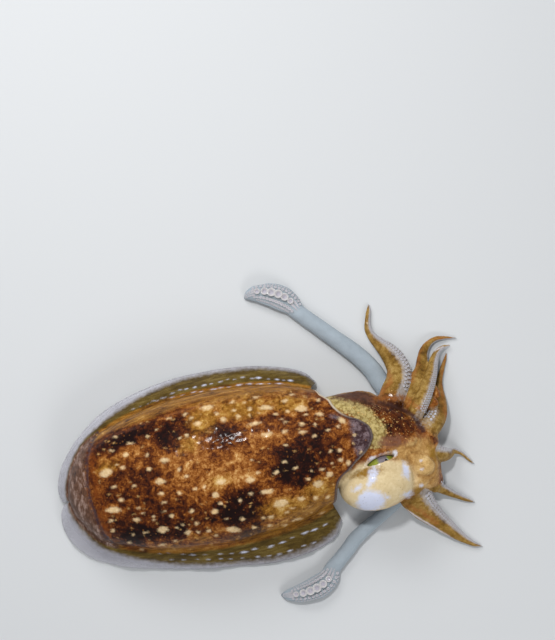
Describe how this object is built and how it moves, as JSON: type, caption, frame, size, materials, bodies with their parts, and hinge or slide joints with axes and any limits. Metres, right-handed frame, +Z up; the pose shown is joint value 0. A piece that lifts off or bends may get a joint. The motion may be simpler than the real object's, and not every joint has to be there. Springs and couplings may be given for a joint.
{
  "type": "broadclub cuttlefish",
  "caption": "Still, life-size model of a broadclub cuttlefish lying belly down, fins spread, head turned, arms curled and feeding tentacles stretched back beside the body",
  "frame": {"origin": "middle of the flat that the belly rests on, on the floor", "axes": "+X along the mantle towards the head, +Y the animal's left, +Z up"},
  "size_m": [0.4288, 0.3215, 0.076],
  "materials": {
    "mantle_skin": "moist skin, dark brown with cream bars and spots",
    "head_skin": "moist skin, brown on top, pale yellow and white below",
    "fin_membrane": "moist, thin, olive with a clear edge",
    "arm_skin": "moist skin, golden brown with white suckers",
    "tentacle_skin": "moist, smooth, blue white",
    "pale_flesh": "moist, pale",
    "eye": "wet and clear over a green iris and black pupil"
  },
  "bodies": {
    "root": {"arm_left_1": "arm_skin", "arm_left_2": "arm_skin", "arm_left_3": "arm_skin", "arm_left_4": "arm_skin", "arm_right_1": "arm_skin", "arm_right_2": "arm_skin", "arm_right_3": "arm_skin", "arm_right_4": "arm_skin", "club_left": "tentacle_skin", "club_right": "tentacle_skin", "eye_left": "eye", "eye_right": "eye", "fin_left": "fin_membrane", "fin_right": "fin_membrane", "funnel": "pale_flesh", "head": "head_skin", "mantle": "mantle_skin", "mouth": "pale_flesh", "tentacle_left_base": "tentacle_skin", "tentacle_left_stalk": "tentacle_skin", "tentacle_right_base": "tentacle_skin", "tentacle_right_stalk": "tentacle_skin"}
  },
  "joints": []
}
